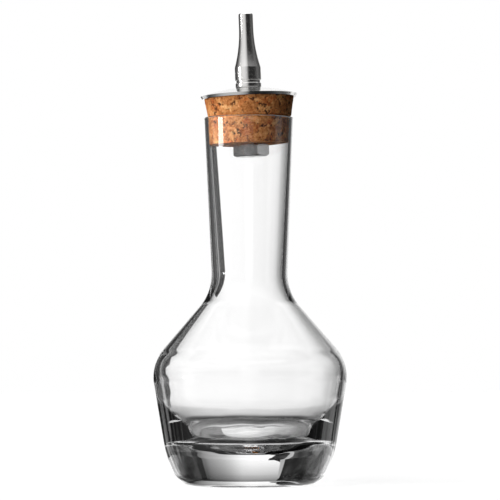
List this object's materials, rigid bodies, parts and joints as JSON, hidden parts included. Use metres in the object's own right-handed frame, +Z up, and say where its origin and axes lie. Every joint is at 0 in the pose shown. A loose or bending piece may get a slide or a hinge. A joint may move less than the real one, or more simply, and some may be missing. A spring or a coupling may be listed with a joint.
{
  "type": "bitters bottle",
  "caption": "Thick-based clear glass bottle with a long neck, closed by a cork that carries a domed steel disc, a slim turned dasher spout and the nut that clamps them.",
  "frame": {"origin": "centre of the base, on the surface that the bottle stands on", "axes": "+Z up the bottle's axis towards the spout, -Y towards the front, +X to the right; the stopper leans towards -X"},
  "size_m": [0.0616, 0.0616, 0.1503],
  "materials": {
    "clear_glass": "clear, fire-polished",
    "cork": "agglomerated cork, bare",
    "polished_disc": "polished",
    "turned_steel": "turned and polished",
    "nut_steel": "bright, lightly worn"
  },
  "bodies": {
    "root": {"bottle": "clear_glass", "cork": "cork", "cap_disc": "polished_disc", "dasher_spout": "turned_steel", "nut": "nut_steel"}
  },
  "joints": []
}
